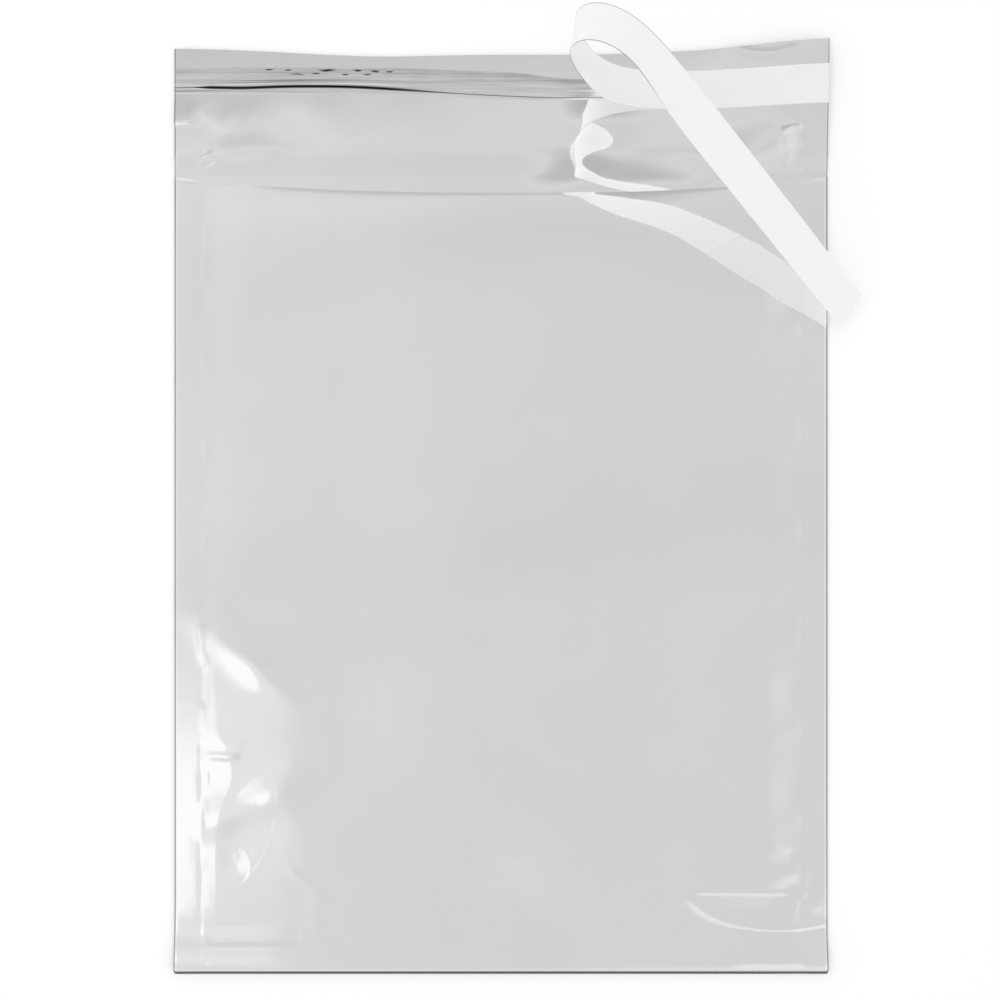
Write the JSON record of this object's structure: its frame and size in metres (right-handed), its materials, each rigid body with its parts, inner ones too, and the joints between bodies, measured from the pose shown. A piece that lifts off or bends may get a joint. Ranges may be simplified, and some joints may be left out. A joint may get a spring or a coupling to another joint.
{
  "type": "foil mailing envelope",
  "caption": "Silver foil mailing envelope lying open, its self-seal strip's white release liner half peeled back in a loop over the flap.",
  "frame": {"origin": "middle of the pocket's back, on the plane that the envelope lies on", "axes": "+Z out of the front, through the envelope's thickness; +Y along the envelope from its welded bottom to the flap; +X across it"},
  "size_m": [0.2615, 0.355, 0.0711],
  "materials": {
    "foil": "bright metallised film, mirror-like with soft wrinkles",
    "adhesive": "clear tacky layer over the metallised film",
    "liner": "smooth white release film, semi-gloss"
  },
  "bodies": {
    "pocket": {"back_panel": "foil", "front_panel": "foil"},
    "flap": {"closure_flap": "foil", "adhesive_strip": "adhesive"},
    "liner": {"release_liner": "liner"}
  },
  "joints": [
    {"name": "flap_fold", "type": "hinge", "parent": "pocket", "child": "flap", "pos_m": [0, 0.1525, 0.003], "axis": [1, 0, 0], "range_deg": [0, 180]},
    {"name": "liner_peel", "type": "slide", "parent": "pocket", "child": "liner", "axis": [0, 0, 1], "range_m": [0, 0.19]}
  ],
  "couplings": [
    {"joint": "liner_peel", "follows": "flap_fold", "m_per_rad": 0.06}
  ]
}
